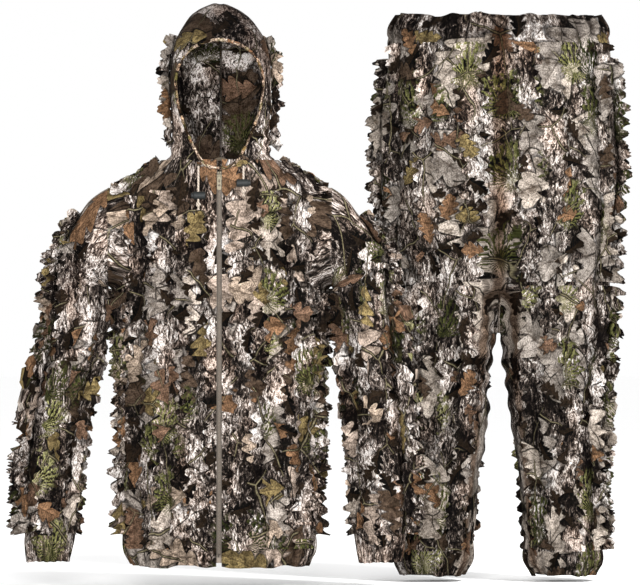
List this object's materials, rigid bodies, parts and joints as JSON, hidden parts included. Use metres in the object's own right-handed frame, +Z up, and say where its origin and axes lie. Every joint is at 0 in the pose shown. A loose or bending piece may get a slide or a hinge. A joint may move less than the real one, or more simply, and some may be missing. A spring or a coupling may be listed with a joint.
{
  "type": "ghillie suit",
  "caption": "Hooded full-zip jacket and elastic-waist trousers in leaf camouflage cloth edged with cut-out 3-D leaves, standing as if worn.",
  "frame": {"origin": "middle of the jacket's neck opening at the collar seam", "axes": "+Z up, the front faces -Y, the wearer's right is -X; the trousers stand at +X, behind the left sleeve"},
  "size_m": [1.097, 0.4955, 1.055],
  "materials": {
    "jacket_cloth": "printed brushed polyester, oak leaf and bark camouflage",
    "trouser_cloth": "printed brushed polyester, oak leaf and bark camouflage",
    "leaf_strip": "printed polyester cut into leaf shapes",
    "casing_tape": "tan polyester tape",
    "zip_tape": "khaki woven tape",
    "elastic": "covered elastic",
    "cord": "cream braided polyester cord",
    "lock_plastic": "moulded, satin",
    "zip_teeth": "moulded khaki teeth",
    "zip_metal": "khaki enamel on die-cast zinc",
    "spring_steel": "drawn wire",
    "eyelet_metal": "dark lacquered ring"
  },
  "bodies": {
    "jacket": {"front_panel_right": "jacket_cloth", "front_panel_left": "jacket_cloth", "back_panel": "jacket_cloth", "collar": "jacket_cloth", "hanger_loop": "casing_tape", "hem_elastic": "elastic", "leaf_strips_front_right": "leaf_strip", "leaf_strips_front_left": "leaf_strip", "leaf_strips_back": "leaf_strip", "zip_tape_right": "zip_tape", "zip_tape_left": "zip_tape", "zip_chain_right": "zip_teeth", "zip_chain_left": "zip_teeth", "zip_top_stops": "zip_metal", "zip_retainer_box": "zip_teeth", "drawcord_right": "cord", "drawcord_left": "cord", "drawcord_knots": "cord", "drawcord_eyelets": "eyelet_metal"},
    "hood": {"hood_panel_right": "jacket_cloth", "hood_panel_left": "jacket_cloth", "hood_edge_casing": "casing_tape", "hood_drawcord": "cord", "leaf_strips_hood": "leaf_strip"},
    "zip_slider": {"zip_slider": "zip_metal"},
    "zip_pull": {"zip_pull": "zip_metal"},
    "trousers": {"seat_right": "trouser_cloth", "seat_left": "trouser_cloth", "waist_elastic": "elastic", "leaf_strips_seat": "leaf_strip"},
    "upper_sleeve_right": {"upper_sleeve_right": "jacket_cloth", "leaf_strips_upper_sleeve_right": "leaf_strip"},
    "forearm_sleeve_right": {"forearm_sleeve_right": "jacket_cloth", "leaf_strips_forearm_right": "leaf_strip", "wrist_elastic_right": "elastic"},
    "thigh_right": {"thigh_right": "trouser_cloth", "leaf_strips_thigh_right": "leaf_strip"},
    "shin_right": {"shin_right": "trouser_cloth", "leaf_strips_shin_right": "leaf_strip", "ankle_elastic_right": "elastic"},
    "cord_lock_right": {"cord_lock_housing_right": "lock_plastic", "cord_lock_spring_right": "spring_steel"},
    "cord_lock_plunger_right": {"cord_lock_plunger_right": "lock_plastic"},
    "upper_sleeve_left": {"upper_sleeve_left": "jacket_cloth", "leaf_strips_upper_sleeve_left": "leaf_strip"},
    "forearm_sleeve_left": {"forearm_sleeve_left": "jacket_cloth", "leaf_strips_forearm_left": "leaf_strip", "wrist_elastic_left": "elastic"},
    "thigh_left": {"thigh_left": "trouser_cloth", "leaf_strips_thigh_left": "leaf_strip"},
    "shin_left": {"shin_left": "trouser_cloth", "leaf_strips_shin_left": "leaf_strip", "ankle_elastic_left": "elastic"},
    "cord_lock_left": {"cord_lock_housing_left": "lock_plastic", "cord_lock_spring_left": "spring_steel"},
    "cord_lock_plunger_left": {"cord_lock_plunger_left": "lock_plastic"}
  },
  "joints": [
    {"name": "hood_fold", "type": "hinge", "parent": "jacket", "child": "hood", "pos_m": [0, 0.002, -0.047], "axis": [-1, 0, 0], "range_deg": [0, 60]},
    {"name": "zip_slide", "type": "slide", "parent": "jacket", "child": "zip_slider", "axis": [0, -0.0529, -0.9986], "range_m": [0, 0.676]},
    {"name": "zip_pull_swing", "type": "hinge", "parent": "zip_slider", "child": "zip_pull", "pos_m": [0, -0.08708, -0.01275], "axis": [-1, 0, 0], "range_deg": [0, 100]},
    {"name": "trousers_set_apart", "type": "slide", "parent": "jacket", "child": "trousers", "axis": [1, 0, 0], "range_m": [0, 0.3]},
    {"name": "shoulder_right", "type": "hinge", "parent": "jacket", "child": "upper_sleeve_right", "pos_m": [-0.205, 0.008, -0.123], "axis": [-1, 0, 0], "range_deg": [0, 90]},
    {"name": "elbow_right", "type": "hinge", "parent": "upper_sleeve_right", "child": "forearm_sleeve_right", "pos_m": [-0.29, 0.008, -0.385], "axis": [-1, 0, 0], "range_deg": [0, 70]},
    {"name": "hip_right", "type": "hinge", "parent": "trousers", "child": "thigh_right", "pos_m": [0.411, 0.25, 0.03], "axis": [1, 0, 0], "range_deg": [0, 25]},
    {"name": "knee_right", "type": "hinge", "parent": "thigh_right", "child": "shin_right", "pos_m": [0.411, 0.25, -0.37], "axis": [1, 0, 0], "range_deg": [0, 60]},
    {"name": "cord_lock_slide_right", "type": "slide", "parent": "jacket", "child": "cord_lock_right", "axis": [0, -0.156, -0.9878], "range_m": [-0.03, 0]},
    {"name": "cord_lock_press_right", "type": "slide", "parent": "cord_lock_right", "child": "cord_lock_plunger_right", "axis": [1, 0, 0], "range_m": [0, 0.003], "stiffness_N_per_m": 400, "springref_m": -0.001},
    {"name": "shoulder_left", "type": "hinge", "parent": "jacket", "child": "upper_sleeve_left", "pos_m": [0.205, 0.008, -0.123], "axis": [-1, 0, 0], "range_deg": [0, 90]},
    {"name": "elbow_left", "type": "hinge", "parent": "upper_sleeve_left", "child": "forearm_sleeve_left", "pos_m": [0.29, 0.008, -0.385], "axis": [-1, 0, 0], "range_deg": [0, 70]},
    {"name": "hip_left", "type": "hinge", "parent": "trousers", "child": "thigh_left", "pos_m": [0.621, 0.25, 0.03], "axis": [1, 0, 0], "range_deg": [0, 25]},
    {"name": "knee_left", "type": "hinge", "parent": "thigh_left", "child": "shin_left", "pos_m": [0.621, 0.25, -0.37], "axis": [1, 0, 0], "range_deg": [0, 60]},
    {"name": "cord_lock_slide_left", "type": "slide", "parent": "jacket", "child": "cord_lock_left", "axis": [0, -0.1694, -0.9855], "range_m": [-0.008, 0]},
    {"name": "cord_lock_press_left", "type": "slide", "parent": "cord_lock_left", "child": "cord_lock_plunger_left", "axis": [-1, 0, 0], "range_m": [0, 0.003], "stiffness_N_per_m": 400, "springref_m": -0.001}
  ]
}
